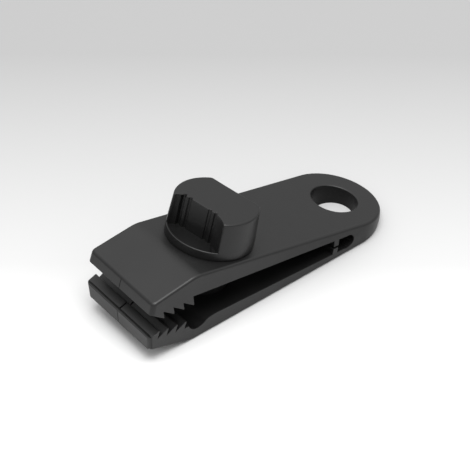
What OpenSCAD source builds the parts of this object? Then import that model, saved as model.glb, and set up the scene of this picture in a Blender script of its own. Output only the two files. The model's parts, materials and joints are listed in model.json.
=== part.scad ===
// Tarp clip: a nylon spring clip with two toothed jaws, a tail eye for a cord,
// and a thumb screw that draws the upper jaw down onto the lower one.
// The clip lies on its lower jaw. The mouth is at -X, the tail eye at +X.

/* [Clip body] */
// Overall length from the mouth to the tail
clip_length = 82; // [74:0.5:96]
// Width across the jaws, which is also the diameter of the round tail
clip_width = 26; // [24:0.5:32]
// Angle between the outer faces of the two jaws
jaw_angle = 14.25; // [13:0.05:15.5]
// Thickness of the body at the hinge axis
hinge_thickness = 7.9; // [7.5:0.05:8.8]
// Distance from the hinge axis to the tail end
tail_length = 18.6; // [17.8:0.1:21]
// Draft of the side walls
side_draft = 3.5; // [1:0.5:6]
// Radius of the upright corners at the mouth
mouth_corner = 1.2; // [0.4:0.1:3]

/* [Nose] */
// Length of the bevelled nose
nose_length = 13.5; // [11:0.1:15]
// Angle between the bevelled nose and the middle plane
nose_angle = 13.5; // [10:0.5:16]
// Lean of the lip faces from square to the middle plane
lip_lean = 9.5; // [8:0.5:14]

/* [Slot] */
// Radius of the round slot end, about the hinge axis
slot_radius = 2; // [2:0.05:2.3]
// Half height of the slot at the hinge axis, a little less than that radius
slot_half_height = 1.9; // [1.6:0.05:1.9]
// Angle of each slot face to the middle plane
slot_angle = 3; // [2.6:0.1:3.4]
// Distance of the stop ribs from the hinge axis
rib_distance = 4.1; // [3.8:0.1:6]
// Thickness of the stop ribs
rib_thickness = 1.65; // [1:0.05:2.2]
// Distance from the hinge axis to the tail end of the flexing web
web_distance = 1; // [0.6:0.1:1.4]
// Gap between the stop ribs with the clip open
rib_gap = 0.65; // [0.55:0.05:1]

/* [Teeth] */
// Gap between the upper and lower tooth tips with the clip open
mouth_gap = 4.65; // [4.4:0.05:5.2]
// Height of the middle of that gap above the middle plane
mouth_height = -0.4; // [-0.8:0.05:-0.2]
// Spacing of the teeth
tooth_spacing = 3; // [2.6:0.05:3.2]
// Length of the flat on each tooth tip
tip_length = 0.3; // [0.15:0.05:0.6]
// Lean of each tooth's tip towards the tail, which makes it a barb
tooth_lean = 0.4; // [0.2:0.05:0.6]
// Number of upper teeth
upper_teeth = 4; // [3:1:4]
// Depth of the upper teeth
upper_tooth_depth = 2; // [1.6:0.1:2.4]
// Length of the flat behind the upper lip
upper_lip_length = 0.7; // [0.4:0.05:1.4]
// Number of lower teeth
lower_teeth = 3; // [2:1:3]
// Depth of the lower teeth
lower_tooth_depth = 1.8; // [1.2:0.05:2.1]
// Length of the lower lip, from its front to the first notch
lower_lip_length = 2.2; // [1.5:0.05:2.6]
// Rise of the lower lip from its front edge to its tip
lower_lip_rise = 0.3; // [0.1:0.05:0.6]
// Width of the slit along the middle of both rows of teeth
slit_width = 0.4; // [0.2:0.1:1]
// Depth of that slit below the tooth tips
slit_depth = 1.2; // [0.6:0.1:1.4]
// Distance of the lip groove from the edge of the lower lip
lip_groove_setback = 0.35; // [0.3:0.01:0.6]
// Width of the lip groove
lip_groove_width = 0.4; // [0.4:0.01:0.6]
// Depth of the lip groove
lip_groove_depth = 0.6; // [0.3:0.05:0.8]
// Distance of each end of the lip groove from the side wall
lip_groove_end = 1.6; // [1.2:0.1:4]
// Radius of the hem pocket behind the lower teeth
pocket_radius = 3; // [2.4:0.05:3.3]
// Distance of the hem pocket from the last lower tooth
pocket_distance = 3.9; // [3.6:0.1:5]
// Height of the hem pocket's centre above the slot floor
pocket_height = 0.9; // [0.6:0.05:1.4]

/* [Tail eye] */
// Diameter of the eye
eye_diameter = 12.5; // [9:0.1:14.5]
// Distance from the hinge axis to the nearest point of the eye
eye_distance = 0.15; // [0.1:0.01:0.2]

/* [Thumb knob] */
// Distance of the knob from the hinge axis, along the middle plane
knob_distance = 36.3; // [33:0.1:38]
// Diameter of the knob's flange
knob_diameter = 22.4; // [20:0.1:25]
// Height of the knob
knob_height = 10.3; // [8.5:0.1:13]
// Thickness of the flange
flange_thickness = 2.3; // [1.6:0.1:3]
// Width of the raised rim round the flange
flange_rim = 0.6; // [0.4:0.05:1.2]
// Depth of the flange's floor below that rim
floor_recess = 0.6; // [0.3:0.05:1]
// Draft of the knob's walls
knob_draft = 3.5; // [2:0.5:7]
// Radius of the knob's top rim
knob_rim = 0.5; // [0.2:0.05:1]
// Turn of the grip from square across the clip
grip_turn = 11; // [-90:1:90]
// Distance from the knob's axis to the scoop, at the top
scoop_reach = 4.95; // [4.4:0.05:5.5]
// Shift of the scoop along the grip, away from its long end
scoop_shift = 1.3; // [0:0.1:2]
// Half length of the flat part of the scoop
scoop_flat = 3.75; // [3:0.05:4.5]
// Radius at the short end of the scoop
short_end_radius = 3.2; // [2.5:0.1:5]
// Radius at the long end of the scoop
long_end_radius = 8; // [5:0.1:9]
// Distance from the knob's axis to the flat behind the grip, at the top
flat_reach = 7.4; // [6.5:0.1:8.5]
// Slope of the scoop and of the flat, from the knob's axis
grip_slope = 1; // [0.5:0.5:6]
// Width of the grip grooves
groove_width = 1; // [0.6:0.1:1.4]
// Spacing of the two grooves in a pair
groove_spacing = 1.9; // [1.6:0.1:2.4]
// Distance of each pair of grooves from the middle of the scoop
groove_offset = 4.1; // [3.9:0.1:5]

/* [Clamp screw] */
// Diameter of the screw over its thread
screw_diameter = 8; // [6:0.1:8.4]
// Length of the screw below the knob
screw_length = 13.3; // [12:0.1:13.4]
// Width across the flats of the spigot that drives the screw
spigot_width = 7; // [5:0.1:7.2]
// Height of that spigot
spigot_height = 6; // [4:0.1:7]
// Bevel at the tip of the screw
tip_bevel = 1; // [0.5:0.1:1.5]
// Diameter of the boss that takes the screw
boss_diameter = 14; // [12.5:0.1:16]
// Height of that boss above the slot floor
boss_height = 3.2; // [2:0.1:4]
// Depth of that boss's root below the slot floor
boss_root_depth = 1.6; // [1.4:0.1:2]

/* [Fits] */
// Angle that the upper jaw closes by
closing_angle = 4; // [3:0.1:4]
// Radial clearance of the screw in the upper jaw
running_clearance = 0.08; // [0.04:0.01:0.1]
// Radial clearance of the screw in its boss, which lets it rock as the jaws close
rocking_clearance = 0.6; // [0.55:0.05:0.8]
// Clearance between the knob and the upper jaw
seat_clearance = 0.1; // [0.05:0.05:0.3]
// Clearance of the spigot in the knob
spigot_clearance = 0.05; // [0.02:0.01:0.15]

/* [Hidden] */
$fn = 96;

nylon = "#2e2e2e";
nylon_web = "#3a3a3a";
knob_nylon = "#262626";

// The body is drawn about its middle plane, with the hinge axis at the origin.
half_angle = jaw_angle / 2;
margin = 1;
function outer_height(x) = hinge_thickness / 2 - x * tan(half_angle);
function slot_height(x) = slot_half_height - x * tan(slot_angle);

upper_tip = mouth_height + mouth_gap / 2;
lower_tip = mouth_height - mouth_gap / 2;
upper_notch = upper_tip + upper_tooth_depth;
lower_notch = lower_tip - lower_tooth_depth;
lower_lip = lower_tip - lower_lip_rise;

// Resting frame: the lower face lies level at z = 0 and the length is centred on x = 0.
// The upper edge of the drafted tail is hindmost.
hinge_height = hinge_thickness / 2 * cos(half_angle);
draft_fall = tan(side_draft);
tail_top = outer_height(tail_length) / (1 - draft_fall * tan(half_angle));
tail_top_x = tail_length - tail_top * draft_fall;
tail_reach = tail_top_x * cos(half_angle) + tail_top * sin(half_angle);
hinge_x = clip_length / 2 - tail_reach;

// The inner edge of the lower lip is foremost.
lip_fall = tan(lip_lean);
nose_fall = tan(nose_angle);
mouth_start = (tail_reach - clip_length - lower_lip * sin(half_angle)) / cos(half_angle);
bend_x = mouth_start + nose_length;
bend_height = outer_height(bend_x);
function nose_height(x) = bend_height - (bend_x - x) * nose_fall;
// Where a lip face that starts at the inner height given meets the bevelled nose
function lip_top(inner) = (nose_height(mouth_start) - inner) / (1 - lip_fall * nose_fall) + inner;
function lip_top_x(inner) = mouth_start + (lip_top(inner) - inner) * lip_fall;

upper_teeth_start = mouth_start + upper_lip_length;
upper_teeth_end = upper_teeth_start + upper_teeth * tooth_spacing;
lower_teeth_start = mouth_start + lower_lip_length;
lower_teeth_end = lower_teeth_start + lower_teeth * tooth_spacing;
pocket_x = lower_teeth_end + pocket_distance;

rib_front = -rib_distance - rib_thickness / 2;
rib_back = -rib_distance + rib_thickness / 2;
eye_x = eye_distance + eye_diameter / 2;
tail_centre = tail_length - clip_width / 2;

knob_x = -knob_distance;
floor_depth = (outer_height(knob_x) + slot_height(knob_x)) / cos(half_angle);
through_depth = 2 * outer_height(knob_x) / cos(half_angle);
screw_radius = screw_diameter / 2;

grip_height = knob_height - flange_thickness;
knob_top_radius = knob_diameter / 2 - grip_height * tan(knob_draft);

// Lays a shape drawn about the middle plane down on its lower jaw
module at_rest() {
    translate([hinge_x, 0, hinge_height])
        rotate([0, half_angle, 0])
            children();
}

// Puts a shape on the screw's axis, with z = 0 on the outer face of the upper jaw
module on_screw_axis() {
    translate([knob_x, 0, outer_height(knob_x)])
        rotate([0, half_angle, 0])
            children();
}

// Extrudes a side view across the width of the clip
module across_width() {
    rotate([90, 0, 0])
        linear_extrude(height = clip_width + 2 * margin, center = true)
            children();
}

// Half of the cross-section: widest at the middle plane, drafted towards both outer faces
module drafted_half_section() {
    half = clip_width / 2;
    tall = outer_height(mouth_start) + margin;
    drafted = half - tall * draft_fall;
    polygon([[0, -tall], [drafted, -tall], [half, 0], [drafted, tall], [0, tall]]);
}

// Drafted walls of the clip: straight along the jaws, full round at the tail
module drafted_walls() {
    translate([tail_centre, 0, 0]) {
        rotate([90, 0, -90])
            linear_extrude(height = tail_centre - mouth_start + margin) {
                drafted_half_section();
                mirror([1, 0])
                    drafted_half_section();
            }
        rotate([0, 0, -90])
            rotate_extrude(angle = 180)
                drafted_half_section();
    }
}

// Plan that rounds the two corners at the mouth and clears the walls elsewhere
module mouth_plan() {
    inner = clip_width / 2 - mouth_corner;
    wide = clip_width + 2 * margin;
    long = tail_length - mouth_start + margin;
    translate([mouth_start + mouth_corner, -wide / 2])
        square([long, wide]);
    translate([mouth_start, -inner])
        square([mouth_corner + margin, 2 * inner]);
    for (side = [-1, 1])
        translate([mouth_start + mouth_corner, side * inner])
            circle(r = mouth_corner);
}

// Cuts a side view to the drafted walls and to the round corners
module moulded() {
    tall = outer_height(mouth_start) + margin;
    intersection() {
        across_width()
            children();
        drafted_walls();
        translate([0, 0, -tall])
            linear_extrude(height = 2 * tall)
                mouth_plan();
    }
}

// A row of barbs: flanks that rise towards the tail, each with a flat tip that leans over the next notch
function tooth_row(start, count, notch, tip) = [
    for (i = [0 : count - 1], tip_x = start + (i + 1) * tooth_spacing + tooth_lean)
        each [[start + i * tooth_spacing, notch], [tip_x - tip_length, tip], [tip_x, tip]]
];

module upper_side_view() {
    polygon(concat(
        [
            [rib_back, outer_height(rib_back)],
            [bend_x, bend_height],
            [lip_top_x(upper_notch), lip_top(upper_notch)],
            [mouth_start, upper_notch]
        ],
        tooth_row(upper_teeth_start, upper_teeth, upper_notch, upper_tip),
        [
            [upper_teeth_end, slot_height(upper_teeth_end)],
            [rib_front, slot_height(rib_front)],
            [rib_front, rib_gap / 2],
            [rib_back, rib_gap / 2]
        ]
    ));
}

module lower_side_view() {
    tail_end = tail_length + margin;
    difference() {
        polygon(concat(
            [
                [tail_end, outer_height(tail_end)],
                [tail_end, -outer_height(tail_end)],
                [bend_x, -bend_height],
                [lip_top_x(-lower_lip), -lip_top(-lower_lip)],
                [mouth_start, lower_lip],
                [lower_teeth_start - tip_length + tooth_lean, lower_tip],
                [lower_teeth_start + tooth_lean, lower_tip]
            ],
            tooth_row(lower_teeth_start, lower_teeth, lower_notch, lower_tip),
            [
                [lower_teeth_end, -slot_height(lower_teeth_end)],
                [rib_front, -slot_height(rib_front)],
                [rib_front, -rib_gap / 2],
                [rib_back, -rib_gap / 2],
                [rib_back, -slot_height(rib_back)],
                [0, -slot_height(0)],
                [0, slot_height(0)],
                [-web_distance, slot_height(-web_distance)],
                [-web_distance, outer_height(-web_distance)]
            ]
        ));
        circle(r = slot_radius);
        translate([pocket_x, pocket_height - slot_height(pocket_x)])
            circle(r = pocket_radius);
    }
}

module web_side_view() {
    polygon([
        [-web_distance, outer_height(-web_distance)], [rib_back, outer_height(rib_back)],
        [rib_back, slot_height(rib_back)], [-web_distance, slot_height(-web_distance)]
    ]);
}

// Boss that takes the screw, and its hole, at the middle of the screw's rocking travel
module screw_boss() {
    rotate([0, -closing_angle / 2, 0])
        on_screw_axis()
            translate([0, 0, -floor_depth - boss_root_depth])
                cylinder(d = boss_diameter, h = boss_root_depth + boss_height);
}

module screw_hole() {
    rotate([0, -closing_angle / 2, 0])
        on_screw_axis()
            translate([0, 0, -through_depth - boss_height])
                cylinder(r = screw_radius + rocking_clearance, h = through_depth);
}

// Slit along the middle of a row of teeth, down from the height given
module tooth_slit(start, count, height) {
    translate([start - tooth_spacing / 2, -slit_width / 2, height])
        cube([(count + 1) * tooth_spacing, slit_width, slit_depth + margin]);
}

// Groove behind the edge of the lower lip, which ends short of both side walls
module lip_groove() {
    reach = clip_width / 2 - lip_groove_end;
    translate([mouth_start + lip_groove_setback, -reach, lower_lip - lip_groove_depth])
        cube([lip_groove_width, 2 * reach, lip_groove_depth + lower_lip_rise + margin]);
}

// Lower jaw with the tail eye: the half of the moulding that lies still
module lower_jaw() {
    color(nylon)
        at_rest()
            difference() {
                union() {
                    moulded()
                        lower_side_view();
                    screw_boss();
                }
                screw_hole();
                tooth_slit(lower_teeth_start, lower_teeth, lower_tip - slit_depth);
                lip_groove();
                translate([eye_x, 0, -hinge_thickness])
                    cylinder(d = eye_diameter, h = 2 * hinge_thickness);
            }
}

// Web above the slot end, which flexes as the jaws close
module living_hinge() {
    color(nylon_web)
        at_rest()
            moulded()
                web_side_view();
}

// Upper jaw: the half of the moulding that swings
module upper_jaw() {
    color(nylon)
        at_rest()
            difference() {
                moulded()
                    upper_side_view();
                tooth_slit(upper_teeth_start, upper_teeth, upper_tip - margin);
                on_screw_axis()
                    translate([0, 0, -through_depth / 2])
                        cylinder(r = screw_radius + running_clearance, h = through_depth);
            }
}

// Turned blank of the knob, with its underside at z = 0
module knob_blank() {
    rotate_extrude()
        difference() {
            polygon([
                [0, 0], [knob_diameter / 2, 0], [knob_diameter / 2, flange_thickness],
                [knob_top_radius, knob_height], [0, knob_height]
            ]);
            knob_rim_cut();
        }
}

// Rounds the top rim of the knob
module knob_rim_cut() {
    rim_x = knob_top_radius - knob_rim;
    rim_z = knob_height - knob_rim;
    difference() {
        translate([rim_x, rim_z])
            square(2 * knob_rim);
        translate([rim_x, rim_z])
            circle(r = knob_rim);
    }
}

// Leans a cutter by the grip's slope, about the top edge of the face at the reach given
module leaning(reach) {
    translate([reach, 0, knob_height])
        rotate([0, -grip_slope, 0])
            translate([0, 0, -knob_height - 2 * margin])
                children();
}

// One end of the scoop in plan: the flat on x = 0, then a curve away from the knob's axis
module scoop_end(radius) {
    deep = knob_diameter;
    square([deep, scoop_flat]);
    translate([radius, 0])
        square([deep, scoop_flat + radius]);
    translate([radius, scoop_flat])
        circle(r = radius);
}

// A pair of grip grooves on each side of the scoop's middle, along the face on x = 0
module grip_grooves() {
    tall = knob_height + 4 * margin;
    for (side = [-1, 1], place = [-0.5, 0.5])
        translate([0, side * groove_offset + place * groove_spacing, 0])
            cylinder(d = groove_width, h = tall);
}

// Space above the flange: its rim stands a little higher than the floor inside
module above_flange() {
    rim_radius = knob_diameter / 2 - flange_rim;
    floor_z = flange_thickness - floor_recess;
    rotate_extrude()
        polygon([
            [0, floor_z], [rim_radius, floor_z], [rim_radius, flange_thickness],
            [knob_diameter, flange_thickness], [knob_diameter, 2 * knob_height], [0, 2 * knob_height]
        ]);
}

// Everything above the flange that the scoop and the flat take off the blank
module grip_cut() {
    tall = knob_height + 4 * margin;
    intersection() {
        union() {
            leaning(scoop_reach)
                translate([0, -scoop_shift, 0]) {
                    linear_extrude(height = tall) {
                        scoop_end(long_end_radius);
                        mirror([0, 1])
                            scoop_end(short_end_radius);
                    }
                    grip_grooves();
                }
            rotate([0, 0, 180])
                leaning(flat_reach)
                    translate([0, -knob_diameter, 0])
                        cube([knob_diameter, 2 * knob_diameter, tall]);
        }
        above_flange();
    }
}

// Hexagonal spigot on top of the screw, with a flat towards the scoop, and its socket with a clearance
module screw_spigot(clearance) {
    flats = spigot_width + 2 * clearance;
    translate([0, 0, -margin])
        rotate([0, 0, 30])
            cylinder(d = flats / cos(30), h = spigot_height + clearance + margin, $fn = 6);
}

// Thumb knob: a flange with a drafted grip, scooped at the front and flat at the back
module thumb_knob() {
    color(knob_nylon)
        at_rest()
            on_screw_axis()
                translate([0, 0, seat_clearance])
                    rotate([0, 0, 180 + grip_turn])
                        difference() {
                            knob_blank();
                            grip_cut();
                            screw_spigot(spigot_clearance);
                        }
}

// Clamp screw: a hexagonal spigot in the knob, and a shank with a bevelled tip
module clamp_screw() {
    color(knob_nylon)
        at_rest()
            on_screw_axis()
                translate([0, 0, seat_clearance])
                    rotate([0, 0, 180 + grip_turn]) {
                        screw_spigot(0);
                        rotate_extrude()
                            polygon([
                                [0, 0], [screw_radius, 0],
                                [screw_radius, tip_bevel - screw_length],
                                [screw_radius - tip_bevel, -screw_length], [0, -screw_length]
                            ]);
                    }
}

lower_jaw();
living_hinge();
upper_jaw();
thumb_knob();
clamp_screw();
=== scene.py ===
# %% [markdown]
# # A tarp clip in moulded nylon
# The clip grips the edge of a tarp between two toothed jaws. A thumb knob turns a coarse screw that
# draws the jaws together, and a cord ties to the round eye in the tail. The two jaws and the thin web
# that joins them are one moulding on the real object. This lesson builds that moulding, the knob and
# the screw as meshes on top of the solid model, then gives them a satin black nylon, soft light and a
# camera.

import json
import math

import bmesh
import bpy
from mathutils import Matrix, Vector


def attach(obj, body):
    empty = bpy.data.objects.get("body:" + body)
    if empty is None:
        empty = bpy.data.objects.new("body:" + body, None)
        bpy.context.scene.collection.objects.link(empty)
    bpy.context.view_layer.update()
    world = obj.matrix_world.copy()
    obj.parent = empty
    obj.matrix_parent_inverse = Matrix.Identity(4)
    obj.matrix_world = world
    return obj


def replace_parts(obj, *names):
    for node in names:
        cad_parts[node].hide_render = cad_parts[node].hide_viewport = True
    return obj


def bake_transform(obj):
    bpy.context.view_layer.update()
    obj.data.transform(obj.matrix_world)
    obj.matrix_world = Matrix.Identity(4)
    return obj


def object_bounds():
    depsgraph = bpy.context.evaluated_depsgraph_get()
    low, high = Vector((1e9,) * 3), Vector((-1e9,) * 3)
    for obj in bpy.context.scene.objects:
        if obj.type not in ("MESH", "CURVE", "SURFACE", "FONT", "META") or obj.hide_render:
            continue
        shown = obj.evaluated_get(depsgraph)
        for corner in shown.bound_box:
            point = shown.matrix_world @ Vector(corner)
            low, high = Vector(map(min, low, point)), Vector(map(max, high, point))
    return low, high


MM = 0.001
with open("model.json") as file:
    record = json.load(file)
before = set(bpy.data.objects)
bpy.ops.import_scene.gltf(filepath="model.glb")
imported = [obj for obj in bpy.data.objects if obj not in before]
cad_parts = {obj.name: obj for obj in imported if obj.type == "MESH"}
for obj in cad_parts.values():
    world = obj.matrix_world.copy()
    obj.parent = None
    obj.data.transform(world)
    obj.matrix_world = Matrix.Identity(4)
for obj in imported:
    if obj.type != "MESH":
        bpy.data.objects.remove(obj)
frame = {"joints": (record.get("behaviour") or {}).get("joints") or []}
cad_low, cad_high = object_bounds()
print("solid model, mm:", [round(side / MM, 2) for side in cad_high - cad_low])

# %% [markdown]
# ## Two drawing frames
# A designer would draw this clip about its middle plane, with the hinge at the origin, because the
# upper and the lower half are then nearly mirror images. The knob and the screw are easier to draw
# about their own axis. Both frames can be read from the joints that the model already has, so nothing
# is placed by eye. Each shape is drawn in millimetres and moved into place by one matrix at the end.

# %% Read the hinge and the screw axis
joints = {joint["name"]: joint for joint in frame["joints"]}
hinge_point = Vector(joints["jaw_close"]["pos_m"])
screw_point = Vector(joints["knob_spin"]["pos_m"])
screw_down = Vector(joints["knob_spin"]["axis"])
closing_angle = math.radians(joints["jaw_close"]["range_deg"][1])
jaw_angle = math.atan2(-screw_down.x, -screw_down.z)
half_angle = jaw_angle / 2
in_metres = Matrix.Scale(MM, 4)
middle_frame = Matrix.Translation(hinge_point) @ Matrix.Rotation(half_angle, 4, "Y") @ in_metres
screw_frame = Matrix.Translation(screw_point) @ Matrix.Rotation(jaw_angle, 4, "Y") @ in_metres
print("angle between the jaws:", round(math.degrees(jaw_angle), 2), "degrees")

# %% [markdown]
# ## Three small tools
# Every solid here is a loft: a row of closed loops with the same number of points, joined by quads and
# capped at both ends. Extrusions, cylinders, threads and the knob all come from it. A Boolean modifier
# then cuts one solid with another, and is applied at once, so that each piece ends as one plain mesh.

# %% Loft, apply and cut
merge_distance = 0.0005


def loft(name, loops):
    """A closed solid through loops of equal length, with a cap on the first and on the last."""
    shape = bmesh.new()
    rings = [[shape.verts.new(point) for point in loop] for loop in loops]
    count = len(rings[0])
    for lower, upper in zip(rings, rings[1:]):
        for i in range(count):
            j = (i + 1) % count
            shape.faces.new((lower[i], lower[j], upper[j], upper[i]))
    shape.faces.new(reversed(rings[0]))
    shape.faces.new(rings[-1])
    bmesh.ops.remove_doubles(shape, verts=shape.verts, dist=merge_distance)
    bmesh.ops.recalc_face_normals(shape, faces=shape.faces)
    piece = bpy.data.objects.new(name, bpy.data.meshes.new(name))
    shape.to_mesh(piece.data)
    shape.free()
    bpy.context.scene.collection.objects.link(piece)
    return piece


def apply_modifiers(piece):
    """Puts the result of the modifiers into the mesh itself."""
    bpy.context.view_layer.update()
    shown = piece.evaluated_get(bpy.context.evaluated_depsgraph_get())
    drawn = piece.data
    made = bpy.data.meshes.new_from_object(shown)
    piece.modifiers.clear()
    piece.data = made
    bpy.data.meshes.remove(drawn)


def cut(piece, cutter, operation="DIFFERENCE"):
    """Cuts a piece with another solid, which is then removed."""
    boolean = piece.modifiers.new("cut", "BOOLEAN")
    boolean.object = cutter
    boolean.operation = operation
    boolean.solver = "EXACT"
    apply_modifiers(piece)
    bpy.data.objects.remove(cutter)


print("tools:", loft.__name__, apply_modifiers.__name__, cut.__name__)

# %% [markdown]
# ## The wedge shape
# Seen from the side, the clip is a wedge: two outer faces run from the thin tail to the deep mouth and
# turn down into a bevelled nose. A slot with slightly opening faces parts the jaws and ends in a round
# hole at the hinge. Each of these lines is a small function of the distance along the clip, so the side
# views below read like a drawing. Negative distances run from the hinge to the mouth.

# %% Lines of the side view
clip_width = 26
hinge_thickness = 7.9
tail_length = 18.6
nose_length = 13.5
nose_angle = math.radians(13.5)
slot_half_height = 1.9
slot_angle = math.radians(3)
mouth_gap = 4.65
mouth_height = -0.4
lip_drop = 0.3
upper_tip = mouth_height + mouth_gap / 2
lower_tip = mouth_height - mouth_gap / 2
lower_lip = lower_tip - lip_drop
mouth_reach = (cad_low.x - hinge_point.x) / MM
mouth_start = (mouth_reach - lower_lip * math.sin(half_angle)) / math.cos(half_angle)
bend_x = mouth_start + nose_length


def outer_height(x):
    """Height of the outer face above the middle plane."""
    return hinge_thickness / 2 - x * math.tan(half_angle)


def slot_height(x):
    """Height of the slot's face above the middle plane."""
    return slot_half_height - x * math.tan(slot_angle)


def nose_height(x):
    """Height of the bevelled nose above the middle plane."""
    return outer_height(bend_x) - (bend_x - x) * math.tan(nose_angle)


print("mouth to hinge:", round(-mouth_start, 2), "mm")
print("depth at the bend:", round(2 * outer_height(bend_x), 2), "mm")

# %% [markdown]
# ## The soft bend above the nose
# On a moulding no crease is quite sharp. Here the bend between the outer face and the nose is drawn as
# a few points of a parabola, which leaves both straight lines without a kink. The same helper will
# round the edge of the pocket and the corners of the knob.

# %% Points of the bend
bend_reach = 1.6
# Shapes that are trimmed later, and the cutters that trim them, reach this far beyond the edge.
overshoot = 1
front_x = mouth_start - overshoot


def rounded_corner(before, corner, after, steps=4):
    """Points between two points that turn the corner between them softly."""
    before, corner, after = Vector(before), Vector(corner), Vector(after)
    parts = [step / steps for step in range(1, steps)]
    return [tuple((1 - t) ** 2 * before + 2 * t * (1 - t) * corner + t**2 * after) for t in parts]


def outer_line(start):
    """Outer face from the start to beyond the mouth, over the soft bend."""
    before = (bend_x + bend_reach, outer_height(bend_x + bend_reach))
    after = (bend_x - bend_reach, nose_height(bend_x - bend_reach))
    bend = [before] + rounded_corner(before, (bend_x, outer_height(bend_x)), after, 6) + [after]
    return [(start, outer_height(start))] + bend + [(front_x, nose_height(front_x))]


print("outer line has", len(outer_line(0)), "points")

# %% [markdown]
# ## Barbed teeth
# The teeth hold the tarp like barbs: a long flank rises towards the tail, and a tip that leans over the
# next notch stops the cloth from sliding out. The upper tips lie parallel to the middle plane. The
# lower tips rise to the mouth, and reach up between the upper ones when the jaws close. One function
# draws both rows, from a line for the tips and a depth for the notches.

# %% Rows of teeth
upper_teeth = 4
lower_teeth = 3
upper_spacing = 3
lower_spacing = 2.75
upper_depth = 2
lower_depth = 2.3
tip_length = 0.3
tooth_lean = 0.4
lower_tilt = math.radians(5.2)
lower_lift = 0.2
upper_lip_length = 0.7
lower_lip_length = 2.65
upper_teeth_start = mouth_start + upper_lip_length
lower_teeth_start = mouth_start + lower_lip_length
upper_teeth_end = upper_teeth_start + upper_teeth * upper_spacing
lower_teeth_end = lower_teeth_start + lower_teeth * lower_spacing


def upper_tips(_):
    """Height of the upper tips, the same at every place."""
    return upper_tip


def lower_tips(x):
    """Height of the lower tips, on a line that rises to the mouth."""
    return lower_tip + lower_lift + (lower_teeth_end + tooth_lean - x) * math.tan(lower_tilt)


def tooth_row(start, count, spacing, tips, depth):
    """Points of a row of teeth: notch, end of the flank and end of the flat tip of each tooth."""
    points = []
    for i in range(count):
        foot = start + i * spacing
        peak = foot + spacing + tooth_lean
        points += [(foot, tips(foot) - depth), (peak - tip_length, tips(peak)), (peak, tips(peak))]
    return points


print("teeth reach", round(lower_teeth_end - mouth_start, 2), "mm behind the lower lip")

# %% [markdown]
# ## Drafted walls
# A moulded part has sloping walls, so that it lets go of the mould. The walls of this clip are widest
# at the middle plane. They run straight along the jaws, turn round the tail in a full half circle, and
# have small round corners at the lips, which lean back a little. Three outlines, lofted, give all of it
# at once.

# %% Outlines of the walls
side_draft = math.radians(3.5)
lip_lean = math.radians(9.5)
mouth_corner = 1.2
tail_centre = tail_length - clip_width / 2
wall_height = outer_height(mouth_start) + overshoot


def arc(centre, radius, start, end, steps):
    """Points on an arc, with the angles in degrees."""
    points = []
    for step in range(steps + 1):
        angle = math.radians(start + (end - start) * step / steps)
        points.append((centre[0] + radius * math.cos(angle), centre[1] + radius * math.sin(angle)))
    return points


def lip_front(height, lip_height):
    """Place of a lip's front at a height. It leans back from its inner edge at the lip height."""
    return mouth_start + (abs(height) - abs(lip_height)) * math.tan(lip_lean)


def wall_outline(height, lip_height):
    """Outline of the clip at a height, with the lip's front for one of the halves."""
    half = clip_width / 2 - abs(height) * math.tan(side_draft)
    front = lip_front(height, lip_height)
    corner = half - mouth_corner
    outline = arc((tail_centre, 0), half, -90, 90, 72)
    outline += arc((front + mouth_corner, corner), mouth_corner, 90, 180, 8)
    outline += arc((front + mouth_corner, -corner), mouth_corner, 180, 270, 8)
    return [(x, y, height) for x, y in outline]


def slab(name, side_view, half_width):
    """A side view, drawn across a width."""
    return loft(name, [[(x, y, z) for x, z in side_view] for y in (-half_width, half_width)])


def moulded(name, side_view, lip_height):
    """A half of the clip: its side view, drawn across the width, inside the drafted walls."""
    piece = slab(name, side_view, clip_width / 2 + overshoot)
    heights = (-wall_height, 0, wall_height)
    cut(piece, loft("walls", [wall_outline(height, lip_height) for height in heights]), "INTERSECT")
    return piece


print("wall outline has", len(wall_outline(0, lower_lip)), "points")

# %% [markdown]
# ## Slot and pocket
# The slot ends in a round hole, so that the web above it can bend without a crack. Behind the lower
# teeth a round pocket takes the thick hem of the tarp, and runs out softly into the floor of the slot.
# A pair of stop ribs near the hinge keeps the jaws from being squeezed too far.

# %% Curves of the pocket and of the slot's end
pocket_radius = 3
pocket_distance = 4.2
pocket_x = lower_teeth_end + pocket_distance
pocket_rise = 0.9
pocket_z = pocket_rise - slot_height(pocket_x)
pocket_blend = 4
pocket_blend_turn = 34
slot_radius = 2
rib_x = -4.1
rib_thickness = 1.65
rib_gap = 0.65
rib_front = rib_x - rib_thickness / 2
rib_back = rib_x + rib_thickness / 2

slot_tilt = math.degrees(slot_angle)
pocket_dip = math.degrees(math.asin(pocket_rise * math.cos(slot_angle) / pocket_radius))
pocket_start = 180 + pocket_dip + slot_tilt
pocket_end = 360 - pocket_dip + slot_tilt
pocket_corner = arc((pocket_x, pocket_z), pocket_radius, pocket_end, pocket_end, 1)[0]
pocket = arc((pocket_x, pocket_z), pocket_radius, pocket_start, pocket_end - pocket_blend_turn, 18)
blend_end = (pocket_corner[0] + pocket_blend, -slot_height(pocket_corner[0] + pocket_blend))
pocket += rounded_corner(pocket[-1], pocket_corner, blend_end, 8) + [blend_end]

end_turn = 90 + math.degrees(math.acos(slot_half_height * math.cos(slot_angle) / slot_radius)) - slot_tilt
slot_end = arc((0, 0), slot_radius, -end_turn, end_turn, 32)
print("pocket has", len(pocket), "points, the slot's end has", len(slot_end))

# %% [markdown]
# ## Lower half
# The lower half carries the lower teeth, the pocket, a stop rib, the round end of the slot and the
# whole tail. The side view is drawn once round as a polygon and becomes a solid in one step.

# %% Side view of the lower half
web_end = -1
tail_end = tail_length + overshoot
lip_peak = lower_teeth_start + tooth_lean

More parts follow.
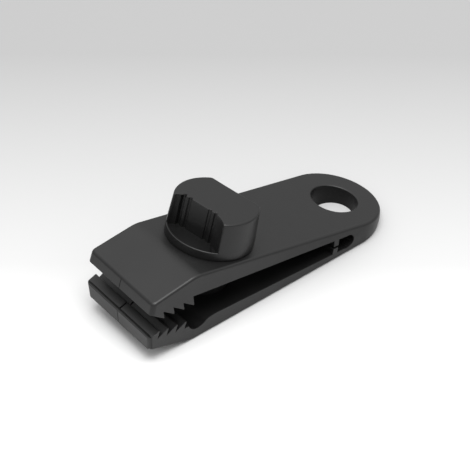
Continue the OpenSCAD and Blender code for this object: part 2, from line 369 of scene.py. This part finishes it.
lower_side_view = [(x, -z) for x, z in outer_line(tail_end)]
lower_side_view += [(front_x, lower_lip), (mouth_start, lower_lip)]
lower_side_view += [(lip_peak - tip_length, lower_tips(lip_peak)), (lip_peak, lower_tips(lip_peak))]
lower_side_view += tooth_row(lower_teeth_start, lower_teeth, lower_spacing, lower_tips, lower_depth)
lower_side_view += [(lower_teeth_end, -slot_height(lower_teeth_end))] + pocket
lower_side_view += [(rib_front, -slot_height(rib_front)), (rib_front, -rib_gap / 2)]
lower_side_view += [(rib_back, -rib_gap / 2), (rib_back, -slot_height(rib_back))] + slot_end
lower_side_view += [(web_end, slot_height(web_end)), (web_end, outer_height(web_end))]
lower_side_view += [(tail_end, outer_height(tail_end))]

lower_half = moulded("clip_lower_half", lower_side_view, lower_lip)
print("lower half:", len(lower_half.data.vertices), "points")

# %% [markdown]
# ## Thread
# A coarse thread is a ridge that climbs one lead in each turn. Each loop below is a circle whose radius
# swells where the ridge passes, so a stack of loops at small steps of height shows the ridge as a
# helix. The same loops make the screw and, a little larger, the cutter for the thread in the lower jaw.

# %% Loops of a thread
lead = 3
thread_sides = 72
loops_per_lead = 18
# The ridge is a steep triangle that is cut off at 1, which flattens the crest.
ridge_peak = 1.6
ridge_slope = 5
fade_rate = 3
thread_turns = [2 * math.pi * i / thread_sides for i in range(thread_sides)]


def circle(radius, height):
    """A level circle of points."""
    return [(radius * math.cos(turn), radius * math.sin(turn), height) for turn in thread_turns]


def thread_loops(core, depth, low, high):
    """Loops of a right-hand thread with flattened crests, fading in and out over a third of its lead."""
    loops = []
    steps = round((high - low) / lead * loops_per_lead)
    for step in range(steps + 1):
        height = low + (high - low) * step / steps
        fade = min(1, fade_rate * (height - low) / lead, fade_rate * (high - height) / lead)
        loop = []
        for i, turn in enumerate(thread_turns):
            place = (height / lead - i / thread_sides) % 1
            ridge = min(1, max(0, ridge_peak - ridge_slope * abs(place - 0.5)))
            radius = core + depth * fade * ridge
            loop.append((radius * math.cos(turn), radius * math.sin(turn), height))
        loops.append(loop)
    return loops


print("three turns of thread have", len(thread_loops(1, 0.2, 0, 3 * lead)), "loops")

# %% [markdown]
# ## Boss
# A round boss in the slot takes the screw. The screw rocks a little as the jaws close, so the boss
# stands at the middle of that travel and its hole has room. The boss is joined with a union, and the
# hole is cut with a solid that carries the thread and a small countersink.

# %% Boss and threaded hole
knob_x = -36.3
screw_seat = Matrix.Translation((knob_x, 0, outer_height(knob_x))) @ Matrix.Rotation(half_angle, 4, "Y")
boss_frame = Matrix.Rotation(-closing_angle / 2, 4, "Y") @ screw_seat
floor_depth = (outer_height(knob_x) + slot_height(knob_x)) / math.cos(half_angle)
boss_radius = 7
boss_height = 3.2
boss_sunk = 1.6
# Inset and drop of the points on the rounded edge of the boss.
boss_edge = ((0, 0.4), (0.1, 0.15), (0.4, 0))
boss_top = boss_height - floor_depth
hole_radius = 4.6
hole_depth = 14
hole_thread_start = 3
hole_thread_depth = 0.35
countersink = 0.5
countersink_rise = 0.1
hole_low = boss_top - hole_depth
hole_top = boss_top + countersink_rise

boss_loops = [circle(boss_radius, -floor_depth - boss_sunk)]
boss_loops += [circle(boss_radius - inset, boss_top - drop) for inset, drop in boss_edge]
boss = loft("boss", boss_loops)
boss.data.transform(boss_frame)
cut(lower_half, boss, "UNION")

hole_loops = [circle(hole_radius, hole_low)]
thread_ends = (hole_low + hole_thread_start, boss_top - countersink)
hole_loops += thread_loops(hole_radius, hole_thread_depth, *thread_ends)
hole_loops.append(circle(hole_radius, hole_top - countersink))
hole_loops += [circle(hole_radius + countersink, height) for height in (hole_top, boss_top + overshoot)]
hole = loft("hole", hole_loops)
hole.data.transform(boss_frame)
cut(lower_half, hole)
print("lower half with its boss:", len(lower_half.data.vertices), "points")

# %% [markdown]
# ## Eye
# The eye in the tail is a round hole, square to the middle plane, that just opens into the end of the
# slot. It is a little narrower below, so that the pin of the mould draws out upwards.

# %% Cut the drafted eye
eye_radius = 6.25
eye_distance = 12.2
eye_reach = 8
eye_x = tail_length - eye_distance


def eye_outline(height):
    """The eye at a height: its full size at the top face, and less below."""
    radius = eye_radius - (outer_height(eye_x) - height) * math.tan(side_draft)
    return [(eye_x + x, y, z) for x, y, z in circle(radius, height)]


cut(lower_half, loft("eye", [eye_outline(-eye_reach), eye_outline(eye_reach)]))
print("lower half with its eye:", len(lower_half.data.vertices), "points")

# %% [markdown]
# ## Upper half
# The upper half is the same wedge, mirrored, with its own row of teeth and its own stop rib. It ends in
# the thin web that bends when the screw is tightened. The web is drawn with this half, because it has
# to bend with it, and meets the tail on a plane where both halves have the same outline, so the joint
# doesn't show.

# %% Side view of the upper half, and the hole for the screw
upper_lip = upper_tip + upper_depth
upper_side_view = outer_line(web_end) + [(front_x, upper_lip)]
upper_side_view += tooth_row(upper_teeth_start, upper_teeth, upper_spacing, upper_tips, -upper_depth)
upper_side_view += [(upper_teeth_end, slot_height(upper_teeth_end)), (rib_front, slot_height(rib_front))]
upper_side_view += [(rib_front, rib_gap / 2), (rib_back, rib_gap / 2)]
upper_side_view += [(rib_back, slot_height(rib_back)), (web_end, slot_height(web_end))]
upper_half = moulded("clip_upper_half", upper_side_view, upper_lip)

screw_hole_radius = 4.08
screw_hole_ends = (-12, 6)
screw_hole = loft("screw_hole", [circle(screw_hole_radius, height) for height in screw_hole_ends])
screw_hole.data.transform(screw_seat)
cut(upper_half, screw_hole)
print("upper half:", len(upper_half.data.vertices), "points")

# %% [markdown]
# ## Slit along the teeth, groove behind the lip
# A narrow slit runs along the middle of both rows of teeth, and a thin groove lies just behind the edge
# of the lower lip. Both are cut with thin slabs before the edges are rounded.

# %% Cut the slits and the groove
slit_width = 0.4
slit_depth = 1.2
slit_reach = 1.5
lip_groove_inset = 0.35
lip_groove_width = 0.45
lip_groove_depth = 1
lip_groove_margin = 0.9
lip_groove_start = mouth_start + lip_groove_inset
lip_groove_end = lip_groove_start + lip_groove_width
lip_groove_reach = clip_width / 2 - lip_groove_margin


def box_view(near, far, low, high):
    """Side view of a box."""
    return [(near, low), (far, low), (far, high), (near, high)]


lower_slit = box_view(
    lip_groove_start, lower_teeth_end + slit_reach,
    lower_tip - slit_depth, lower_tips(lip_peak) + overshoot,
)
upper_slit = box_view(
    upper_teeth_start - slit_reach, upper_teeth_end + slit_reach,
    upper_tip - overshoot, upper_tip + slit_depth,
)
lip_groove = box_view(
    lip_groove_start, lip_groove_end,
    lower_lip - lip_groove_depth, lower_tip + overshoot,
)
cut(lower_half, slab("slit", lower_slit, slit_width / 2))
cut(upper_half, slab("slit", upper_slit, slit_width / 2))
cut(lower_half, slab("groove", lip_groove, lip_groove_reach))
print("slit:", slit_width, "mm wide; groove:", round(2 * lip_groove_reach, 1), "mm long")

# %% [markdown]
# ## Rounded edges
# What makes a moulding look real is the light that its rounded edges catch. The outer edges are rounded
# by about 0.7 mm, the rim of the eye by half of that, and the teeth hardly at all. A Bevel modifier can
# do all three in one pass, because each edge has its own bevel weight. The weight is found from the
# faces that the edge joins and from its place.

# %% Choose a radius for each edge
outer_edge = 0.7
eye_edge = 0.35
fine_edge = 0.12
sharp_angle = math.radians(25)
flat_angle = math.radians(0.4)
near = 0.01
facing = 0.9
least_wall = 0.6
eye_margin = 0.05
# The tilted screw crosses the slot about 1 mm nearer the mouth than it enters the upper jaw.
screw_middle = knob_x - 1
screw_zone = boss_radius + 1.5


def faces_out(normal, height):
    """How far a face looks away from the middle plane: 1 for straight out, -1 for straight in."""
    return normal.z * math.copysign(1, height)


def is_outer(face):
    """True for the faces that make the outside of the wedge above and below."""
    middle = face.calc_center_median()
    return faces_out(face.normal, middle.z) > facing and abs(middle.z) > slot_height(middle.x) + least_wall


def in_eye(point):
    """True for a point on the wall or the rim of the eye."""
    return math.hypot(point.x - eye_x, point.y) < eye_radius + eye_margin


def along_groove(x):
    """True for a place along the clip that lies at the groove of the lower lip."""
    return lip_groove_start - near < x < lip_groove_end + near


def edge_radius(edge):
    """Radius that an edge of the clip is rounded by, in millimetres."""
    if len(edge.link_faces) != 2 or not edge.is_convex or edge.calc_face_angle() < sharp_angle:
        return 0
    ends = [vert.co for vert in edge.verts]
    middle = (ends[0] + ends[1]) / 2
    at_web_end = all(abs(end.x - web_end) < near for end in ends) and middle.z > 0
    at_screw = math.hypot(middle.x - screw_middle, middle.y) < screw_zone
    at_slit = all(abs(end.y) < slit_width for end in ends)
    at_groove = all(along_groove(end.x) for end in ends) and middle.z < 0
    if at_web_end or at_screw or at_slit or at_groove:
        return 0
    outside = any(is_outer(face) for face in edge.link_faces)
    if in_eye(middle):
        return eye_edge if outside and middle.z > 0 else 0
    return outer_edge if outside else fine_edge


print("radii:", outer_edge, eye_edge, fine_edge, "mm")


# %% Round the edges of both halves
def round_edges(piece):
    """Bevels every edge by its own radius."""
    shape = bmesh.new()
    shape.from_mesh(piece.data)
    bmesh.ops.dissolve_limit(shape, angle_limit=flat_angle, verts=shape.verts, edges=shape.edges)
    shape.normal_update()
    weights = shape.edges.layers.float.new("bevel_weight_edge")
    for edge in shape.edges:
        edge[weights] = edge_radius(edge) / outer_edge
    shape.to_mesh(piece.data)
    shape.free()
    bevel = piece.modifiers.new("rounded edges", "BEVEL")
    bevel.limit_method = "WEIGHT"
    bevel.width = outer_edge
    bevel.segments = 4
    bevel.use_clamp_overlap = False
    apply_modifiers(piece)


for half in (lower_half, upper_half):
    round_edges(half)
    print(half.name, "has", len(half.data.polygons), "faces after rounding")

# %% [markdown]
# ## Parting line
# The two halves of the tool that shapes the mouth meet at the middle of the clip and leave a thin line
# on the front of each lip. It is cut after the rounding, because it is far finer than the rounded edges
# that it crosses. A Weighted Normal modifier then keeps the large faces flat to the eye and the
# roundings soft.

# %% Cut the parting lines and smooth the shading
seam_width = 0.2
seam_depth = 0.12
crease_angle = math.radians(35)


def seam(lip_height):
    """A thin slab that reaches a little into the front of a lip."""
    nose = math.copysign(nose_height(mouth_start) + overshoot, lip_height)
    inner, outer = lip_front(lip_height, lip_height), lip_front(nose, lip_height)
    side_view = [(inner - overshoot, lip_height), (inner + seam_depth, lip_height)]
    side_view += [(outer + seam_depth, nose), (outer - overshoot, nose)]
    return slab("seam", side_view, seam_width / 2)


def soften(piece):
    """Smooth shading, sharp only at real creases, with large faces kept flat."""
    piece.data.shade_smooth()
    piece.data.set_sharp_from_angle(angle=crease_angle)
    weighted = piece.modifiers.new("weighted normals", "WEIGHTED_NORMAL")
    weighted.keep_sharp = True
    apply_modifiers(piece)


for half, lip_height in ((lower_half, lower_lip), (upper_half, upper_lip)):
    cut(half, seam(lip_height))
    soften(half)
    print(half.name, "has", len(half.data.polygons), "faces with its parting line")

# %% [markdown]
# ## Faces with painted shade
# The slot, the eye and the groove of the lip are shaped by cores, steel inserts that slide out of the
# tool. Their faces get a duller copy of the nylon, which reflects about half as much and paints shade
# into these recesses. They are found here, while the halves still lie in the frame they were drawn in.
# The halves are then moved into place.

# %% Find the faces of the slot, the eye and the groove
steep = 0.5
wall_zone = 1.5


def in_groove(point):
    """True for a point in the groove of the lower lip."""
    above_floor = point.z - lower_lip + lip_groove_depth
    return along_groove(point.x) and -near < above_floor < lip_groove_depth + lip_drop


def gets_painted_shade(face, slot_start):
    """True for a face inside the groove, inside the eye, or inside the slot behind the teeth."""
    middle, normal = face.center, face.normal
    if in_groove(middle):
        return True
    if in_eye(middle):
        return abs(normal.z) < steep
    on_wall = abs(normal.y) > facing and abs(middle.y) > clip_width / 2 - wall_zone
    in_slot = slot_start < middle.x < slot_radius
    return in_slot and not on_wall and faces_out(normal, middle.z) < steep


painted_shade_faces = {}
for half, teeth_end in ((lower_half, lower_teeth_end), (upper_half, upper_teeth_end)):
    slot_start = teeth_end + tooth_lean
    painted_shade_faces[half.name] = [face.index for face in half.data.polygons if gets_painted_shade(face, slot_start)]
    half.data.transform(middle_frame)
    print(half.name, "has", len(painted_shade_faces[half.name]), "faces from cores")

# %% [markdown]
# ## Thumb scoop
# The knob has a scoop for the thumb at the front. Seen from above, the scoop is a straight face with
# two pairs of small grooves for grip. It turns out to the rim in a tight curve at its short end and in
# a wide one at its long end. One function gives the depth of the scoop at any place along it, grooves
# included.

# %% Line of the scoop
scoop_reach = 4.95
scoop_shift = 1.3
halvings = 40
scoop_flat = 3.75
short_end_radius = 3.2
long_end_radius = 8
groove_radius = 0.5
groove_offset = 4.1
groove_half_spacing = 0.95
groove_places = [side * groove_offset + step * groove_half_spacing for side in (-1, 1) for step in (-1, 1)]


def scoop_depth(along, reach):
    """Distance of the scoop's face from the knob's axis, at a place along the scoop."""
    end_radius = long_end_radius if along > 0 else short_end_radius
    over = min(max(abs(along) - scoop_flat, 0), end_radius)
    depth = reach + end_radius - math.sqrt(end_radius**2 - over**2)
    for place in groove_places:
        if abs(along - place) < groove_radius:
            depth = min(depth, reach - math.sqrt(groove_radius**2 - (along - place) ** 2))
    return depth


def scoop_point(along, reach):
    """A point of the scoop's face, seen from above."""
    return scoop_depth(along, reach), along - scoop_shift


def scoop_limit(side, reach, rim):
    """Place along the scoop where it runs out through the rim, on one side, found by halving."""
    inside, outside = 0, side * rim
    for _ in range(halvings):
        middle = (inside + outside) / 2
        if math.hypot(*scoop_point(middle, reach)) < rim:
            inside = middle
        else:
            outside = middle
    return inside


print("on a rim of 11 mm the scoop runs out", round(scoop_limit(1, scoop_reach, 11), 2), "mm along")

# %% [markdown]
# ## Outline of the grip
# The grip is a slightly tapered round blank with the scoop at the front and a flat at the back. Instead
# of cutting a blank, each level is drawn as one outline: along the scoop, round the rim, across the
# flat and round the rim again. The points keep their order from level to level, so the loft follows the
# grooves exactly and every corner can be rounded in the outline itself.

# %% Outline at one height
flange_radius = 11.2
flange_thickness = 2.3
knob_height = 10.3
knob_draft = math.radians(3.5)
grip_slope = math.radians(1)
flat_reach = 7.4
corner_round = 0.4
grooved = 5.7
groove_margin = 0.1


def spread(start, end, steps):
    """Evenly spread numbers, both ends included."""
    return [start + (end - start) * step / steps for step in range(steps + 1)]


def rim_radius(height):
    """Radius of the drafted grip at a height."""
    return flange_radius - (height - flange_thickness) * math.tan(knob_draft)


def bearing(point):
    """Direction of a point from the axis, in degrees."""
    return math.degrees(math.atan2(point[1], point[0]))


def grip_outline(height):
    """Outline of the grip: scoop, rim, flat and rim, anticlockwise from the short end of the scoop."""
    rim = rim_radius(height)
    lean = (knob_height - height) * math.tan(grip_slope)
    reach, back = scoop_reach + lean, flat_reach + lean
    short_end, long_end = scoop_limit(-1, reach, rim), scoop_limit(1, reach, rim)
    along = spread(short_end + corner_round, -grooved - groove_margin, 5)
    along += spread(-grooved, grooved, 114)
    along += spread(grooved + groove_margin, long_end - corner_round, 9)
    scoop = [scoop_point(place, reach) for place in along]
    short_corner, long_corner = scoop_point(short_end, reach), scoop_point(long_end, reach)
    turn = math.degrees(corner_round / rim)
    flat_turn = 180 - math.degrees(math.acos(back / rim))
    half_flat = math.sqrt(rim**2 - back**2)
    near_rim = arc((0, 0), rim, bearing(long_corner) + turn, flat_turn - turn, 44)
    far_rim = arc((0, 0), rim, turn - flat_turn, bearing(short_corner) - turn, 44)
    flat = [(-back, y) for y in spread(half_flat - corner_round, corner_round - half_flat, 12)]
    points = scoop + rounded_corner(scoop[-1], long_corner, near_rim[0]) + near_rim
    points += rounded_corner(near_rim[-1], (-back, half_flat), flat[0]) + flat
    points += rounded_corner(flat[-1], (-back, -half_flat), far_rim[0]) + far_rim
    points += rounded_corner(far_rim[-1], short_corner, scoop[0])
    return [(x, y, height) for x, y in points]


print("grip outline has", len(grip_outline(knob_height)), "points")

# %% [markdown]
# ## Loops of the knob
# The flange below the grip has a thin raised rim, and its floor inside the rim is a little recessed,
# which shows at the scoop and at the flat. Round loops are drawn in the directions of the grip's foot,
# so that they can be joined to it point by point. Where the grip continues the flange, the loops fall
# together and are merged.

# %% Round loops, the recessed floor and the soft top
flange_rim = 0.6
floor_recess = 0.6
rim_round = 0.45
scoop_round = 0.2
ledge_round = 0.2
round_change = 1
floor_radius = flange_radius - flange_rim
foot = grip_outline(flange_thickness)


def round_loop(height, radius_of):
    """A loop with the directions of the grip's foot and a radius for each of its points."""
    loop = []
    for x, y, _ in foot:
        turn = math.atan2(y, x)
        radius = radius_of(turn, math.hypot(x, y))
        loop.append((radius * math.cos(turn), radius * math.sin(turn), height))
    return loop


def outside_foot(height, least):
    """A round loop that gives way where the foot of the grip reaches further out."""
    return round_loop(height, lambda _, reach: max(reach, least))


def sunk(loop, depth):
    """Lowers a loop where the foot of the grip stands on the floor, inside the flange's rim."""
    lowered = []
    for (x, y, z), (foot_x, foot_y, _) in zip(loop, foot):
        on_floor = math.hypot(foot_x, foot_y) < floor_radius
        lowered.append((x, y, z - depth if on_floor else z))
    return lowered


def quarter_round(part, radius):
    """Drop and inset of a rounded edge, from its side at 0 degrees to its top at 90."""
    turn = math.radians(part)
    return radius * (1 - math.sin(turn)), radius * (1 - math.cos(turn))


def top_loop(part):
    """A loop of the rounded top edge, with a full radius at the rim and the flat, and less at the scoop."""
    drop, full_inset = quarter_round(part, rim_round)
    height = knob_height - drop
    loop = []
    for x, y, z in grip_outline(height):
        reach = math.hypot(x, y)
        from_scoop = min(1, max(0, 1 + (reach - rim_radius(height)) / round_change)) if x > 0 else 1
        inset = (scoop_round + from_scoop * (rim_round - scoop_round)) / rim_round * full_inset
        loop.append((x * (1 - inset / reach), y * (1 - inset / reach), z))
    return loop


print("floor of the flange:", round(2 * floor_radius, 1), "mm across")

# %% [markdown]
# ## Knob as one loft
# The loops start inside, at the top of the six-sided socket that takes the screw's spigot. They come
# down and out over the underside, go round the flange, over its rim and down to the floor, and up the
# grip, and they close over the softly rounded top. The floor gets the same painted shade as the slot, a
# duller copy of the nylon, so its faces are noted too.

# %% Loft the knob and move it into place
spigot_width = 7
spigot_height = 6
socket_clearance = 0.1
seat_clearance = 0.1
grip_turn = math.radians(11)
# Height and inset of the points on the rounded lower edge of the flange.
underside_edge = ((0, 0.25), (0.08, 0.07), (0.25, 0))
# A smaller loop inside the top keeps the large cap away from the rounded edge.
cap_share = 0.9


def six_sides(turn, width):
    """Distance from the axis to a hexagon with a flat towards the scoop."""
    sixth = math.radians(60)
    return width / 2 / math.cos((turn + sixth / 2) % sixth - sixth / 2)


knob_loops = []
for height in (spigot_height + socket_clearance / 2, 0):
    knob_loops.append(round_loop(height, lambda turn, _: six_sides(turn, spigot_width + socket_clearance)))
for height, inset in (*underside_edge, (flange_thickness - ledge_round, 0)):
    knob_loops.append(round_loop(height, lambda *_: flange_radius - inset))
for part in (30, 60, 90):
    drop, inset = quarter_round(part, ledge_round)
    knob_loops.append(outside_foot(flange_thickness - drop, flange_radius - inset))
for part in (90, 60, 30, 0):
    drop, inset = quarter_round(part, ledge_round)
    knob_loops.append(sunk(outside_foot(flange_thickness, floor_radius + inset), drop))
knob_loops += [sunk(loop, floor_recess) for loop in (outside_foot(flange_thickness, floor_radius), foot)]
knob_loops += [grip_outline(height) for height in spread(flange_thickness, knob_height - rim_round, 8)]
knob_loops += [top_loop(part) for part in (22.5, 45, 67.5, 90)]
knob_loops.append([(cap_share * x, cap_share * y, z) for x, y, z in knob_loops[-1]])

knob = loft("thumb_knob_grip", knob_loops)
soften(knob)
floor_height = flange_thickness - floor_recess
floor_faces = [face for face in knob.data.polygons if abs(face.center.z - floor_height) < near]
# Painted shade: the knob's floor takes the duller nylon, which darkens the foot of the scoop.
painted_shade_faces[knob.name] = [face.index for face in floor_faces]
lifted = Matrix.Translation((0, 0, seat_clearance))
knob_frame = screw_frame @ lifted @ Matrix.Rotation(math.pi + grip_turn, 4, "Z")
knob.data.transform(knob_frame)
print("knob has", len(knob.data.polygons), "faces,", len(floor_faces), "of them in the floor")

# %% [markdown]
# ## Clamp screw
# The screw stands under the knob and shows only in the slot between the jaws. It has a bevelled tip
# that finds its hole, a coarse thread, a plain collar and the six-sided spigot that sits in the knob.

# %% Loops of the screw
screw_radius = 4
screw_length = 13.3
thread_depth = 0.8
core = screw_radius - thread_depth
tip_height = 0.8
thread_low = tip_height - screw_length
thread_high = -1.6


def spigot_loop(height):
    """A level loop of the six-sided spigot."""
    radii = [six_sides(turn, spigot_width) for turn in thread_turns]
    return [(r * math.cos(turn), r * math.sin(turn), height) for r, turn in zip(radii, thread_turns)]


# Radius and height of the points along the bevelled tip and along the collar.
tip = ((core - 0.9, 0), (core - 0.6, 0.05), (core, 0.7))
collar = ((core, -1.5), (screw_radius, -1.1), (screw_radius, 0))
screw_loops = [circle(radius, height - screw_length) for radius, height in tip]
screw_loops += thread_loops(core, thread_depth, thread_low, thread_high)
screw_loops += [circle(radius, height) for radius, height in collar]
screw_loops += [spigot_loop(0), spigot_loop(spigot_height)]
screw = loft("clamp_screw_thread", screw_loops)
soften(screw)
screw.data.transform(knob_frame)
print("screw has", len(screw.data.polygons), "faces")

# %% [markdown]
# ## Colours and nodes
# Colours are written as sRGB hex values, as a paint chart would give them, and one function turns them
# into the linear values that the renderer needs. A second function adds a node with its settings and
# links, so that a material reads as a list of what is in it. Patterns are sized in millimetres.


# %% Three helpers for materials
def to_linear(colour):
    """Linear colour with alpha from an sRGB hex value."""
    channels = [int(colour[i : i + 2], 16) / 255 for i in (1, 3, 5)]
    return [c / 12.92 if c <= 0.04045 else ((c + 0.055) / 1.055) ** 2.4 for c in channels] + [1]


def add(material, kind, links=None, values=None, **settings):
    """Adds a node: settings are its properties, values fill sockets, links join sockets to other nodes."""
    node = material.node_tree.nodes.new(kind)
    for name, value in settings.items():
        setattr(node, name, value)
    for socket, value in (values or {}).items():
        node.inputs[socket].default_value = value
    for socket, source in (links or {}).items():
        material.node_tree.links.new(source, node.inputs[socket])
    return node


def per_metre(size_mm):
    """Noise scale that gives patterns of a real size."""
    return 1 / (size_mm * MM)


print("#0d0d0d is", round(to_linear("#0d0d0d")[0], 4), "in linear light")

# %% [markdown]
# ## Black nylon
# The clip is injection-moulded nylon, coloured right through with carbon black. The pigment leaves
# almost no colour of its own. The grey that the eye sees is the reflection of a white room on the satin
# skin, so the outside looks dark grey while the deep slot stays black. A wide noise stands for the
# faint flow marks of the melt, and a fine one for the grain of the mould.

# %% Moulded nylon in two finishes, and a copy of the satin one with painted shade
flow_mm = 11
nylon_ior = 1.53


def black_nylon(name, dark, light, roughness, specular, grain_mm, grain_depth_mm):
    """Moulded nylon: a soft black with faint flow marks and the fine grain of the mould."""
    material = bpy.data.materials.new(name)
    material.use_nodes = True
    material.node_tree.nodes.clear()
    place = add(material, "ShaderNodeTexCoord").outputs["Object"]
    flow_size = {"Scale": per_metre(flow_mm), "Detail": 3}
    flow = add(material, "ShaderNodeTexNoise", {"Vector": place}, flow_size)
    # The real grain is under 0.1 mm and would not show, so it is drawn several times as coarse.
    grain_size = {"Scale": per_metre(grain_mm), "Detail": 2}
    grain = add(material, "ShaderNodeTexNoise", {"Vector": place}, grain_size)
    colour = add(
        material, "ShaderNodeMix", {"Factor": flow.outputs["Fac"]},
        {"A": to_linear(dark), "B": to_linear(light)}, data_type="RGBA",
    )
    # The flow marks change the gloss a little, which breaks up the veil of reflected light.
    satin = add(
        material, "ShaderNodeMapRange", {"Value": flow.outputs["Fac"]},
        {"From Min": 0.3, "From Max": 0.7, "To Min": roughness - 0.04, "To Max": roughness + 0.05},
    )
    relief = add(
        material, "ShaderNodeBump", {"Height": grain.outputs["Fac"]},
        {"Strength": 0.6, "Distance": grain_depth_mm * MM},
    )
    surface = {
        "Base Color": colour.outputs["Result"],
        "Roughness": satin.outputs["Result"],
        "Normal": relief.outputs["Normal"],
    }
    skin = add(
        material, "ShaderNodeBsdfPrincipled", surface, {"IOR": nylon_ior, "Specular IOR Level": specular}
    )
    add(material, "ShaderNodeOutputMaterial", {"Surface": skin.outputs["BSDF"]})
    return material


# The jaws have a satin skin from a finely textured mould: an even dark grey with soft highlights.
jaw_nylon = black_nylon(
    "satin_black_nylon", "#090909", "#0d0d0d",
    roughness=0.42, specular=0.31, grain_mm=0.6, grain_depth_mm=0.03,
)
# The knob and the screw come from a smoother mould: the same grey, with slightly crisper highlights.
knob_nylon = black_nylon(
    "smooth_black_nylon", "#080808", "#0b0b0b",
    roughness=0.4, specular=0.31, grain_mm=0.5, grain_depth_mm=0.015,
)
# Painted shade for the recesses: this copy reflects about half as much as the satin skin and looks darker.
painted_shade_nylon = black_nylon(
    "painted_shade_black_nylon", "#090909", "#0d0d0d",
    roughness=0.42, specular=0.18, grain_mm=0.6, grain_depth_mm=0.03,
)
print("materials:", jaw_nylon.name, knob_nylon.name, painted_shade_nylon.name)

# %% [markdown]
# ## Join the pieces to the model
# Each piece stands for the solid it was drawn after and moves with the same body. The upper half is
# special: it stands for the upper jaw and the web together, is joined to no body and stays where it was
# drawn.

# %% Finish, ride and replace
for piece, nylon in ((lower_half, jaw_nylon), (upper_half, jaw_nylon), (knob, knob_nylon)):
    piece.data.materials.append(nylon)
    piece.data.materials.append(painted_shade_nylon)
    # The recessed faces take the second, duller material, which paints shade into them.
    for index in painted_shade_faces[piece.name]:
        piece.data.polygons[index].material_index = 1
screw.data.materials.append(knob_nylon)

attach(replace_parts(lower_half, "lower_jaw"), "base")
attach(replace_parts(knob, "thumb_knob"), "knob")
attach(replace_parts(screw, "clamp_screw"), "knob")
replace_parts(upper_half, "upper_jaw", "living_hinge")
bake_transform(upper_half)

print("pieces:", lower_half.name, upper_half.name, knob.name, screw.name)

# %% [markdown]
# ## Floor
# The clip lies on a sheet of paper whose colour fades from white in front to pale grey at the back:
# painted light and shade that stand in for the light falling off away from the front. The fade runs
# straight away from the camera. A gradient between three greys, each at its own distance, is enough for it.

# %% Paper with a painted falloff of light
# Painted light and shade: the paper is lightest in front and greyer towards the back.
tones = {-0.04: "#c0c0c0", 0: "#a2a2a2", 0.09: "#848484"}
fade_start = min(tones)
fade_length = max(tones) - fade_start
away = math.radians(50.7)
sheet_radius = 3000
sheet_thickness = 40
floor = loft("floor", [circle(sheet_radius, -sheet_thickness), circle(sheet_radius, 0)])
floor.data.transform(in_metres)
sheet = bpy.data.materials.new("paper_with_painted_falloff")
sheet.use_nodes = True
sheet.node_tree.nodes.clear()
place = add(sheet, "ShaderNodeTexCoord").outputs["Object"]
fade_place = (-fade_start / fade_length, 0, 0)
along = add(
    sheet, "ShaderNodeMapping", {"Vector": place},
    {"Location": fade_place, "Rotation": (0, 0, -away), "Scale": [1 / fade_length] * 3},
)
fade = add(sheet, "ShaderNodeTexGradient", {"Vector": along.outputs["Vector"]})
tone = add(sheet, "ShaderNodeValToRGB", {"Fac": fade.outputs["Fac"]})
tone.color_ramp.elements.new(0.5)
for element, (distance, colour) in zip(tone.color_ramp.elements, tones.items()):
    element.position = (distance - fade_start) / fade_length
    element.color = to_linear(colour)
paper = add(sheet, "ShaderNodeBsdfPrincipled", {"Base Color": tone.outputs["Color"]}, {"Roughness": 0.8})
add(sheet, "ShaderNodeOutputMaterial", {"Surface": paper.outputs["BSDF"]})
floor.data.materials.append(sheet)
print("floor tones:", list(tones.values()))

# %% [markdown]
# ## Light
# A bright tent of light surrounds the clip, brighter overhead than at the horizon, so each open face of
# the black nylon shows a soft grey. The slot and the foot of the scoop stay dark, partly from the tent's
# light and partly from the painted shade of their duller finish. One large lamp overhead lights the paper
# evenly and leaves a small soft shadow at the foot of the clip.

# %% Tent and lamp
horizon_glow = 0.28
overhead_glow = 2.0
scene = bpy.context.scene
scene.view_settings.view_transform = "Standard"
sky = bpy.data.worlds.new("white_tent")
sky.use_nodes = True
sky.node_tree.nodes.clear()
direction = add(sky, "ShaderNodeTexCoord").outputs["Generated"]
upward = add(sky, "ShaderNodeSeparateXYZ", {"Vector": direction}).outputs["Z"]
glow = add(sky, "ShaderNodeMapRange", {"Value": upward}, {"To Min": horizon_glow, "To Max": overhead_glow})
white = {"Color": to_linear("#ffffff")}
tent = add(sky, "ShaderNodeBackground", {"Strength": glow.outputs["Result"]}, white)
add(sky, "ShaderNodeOutputWorld", {"Surface": tent.outputs["Background"]})
scene.world = sky

lamp = bpy.data.objects.new("overhead lamp", bpy.data.lights.new("overhead lamp", "AREA"))
lamp.data.shape = "DISK"
lamp.data.size = 0.6
lamp.data.energy = 8
lamp.location = (-0.05, -0.12, 0.75)
lamp.rotation_mode = "QUATERNION"
lamp.rotation_quaternion = (Vector((0, 0, 0)) - lamp.location).to_track_quat("-Z", "Y")
scene.collection.objects.link(lamp)
print("lamp", round(lamp.location.length, 2), "m from the clip")

# %% [markdown]
# ## Camera
# The place, direction and lens of the camera were solved from the outline of the clip in the
# photograph: a long lens, about half a metre away, looking down at some 42 degrees on the mouth and the
# near side.

# %% Place the camera
camera = bpy.data.objects.new("camera", bpy.data.cameras.new("camera"))
camera.data.lens = 135.4
camera.data.sensor_width = 36
camera.location = (-0.212342, -0.252532, 0.308138)
camera.rotation_euler = [math.radians(turn) for turn in (47.892, -0.2146, -39.2875)]
scene.collection.objects.link(camera)
scene.camera = camera
print("camera", round(camera.location.length, 3), "m from the middle of the clip")
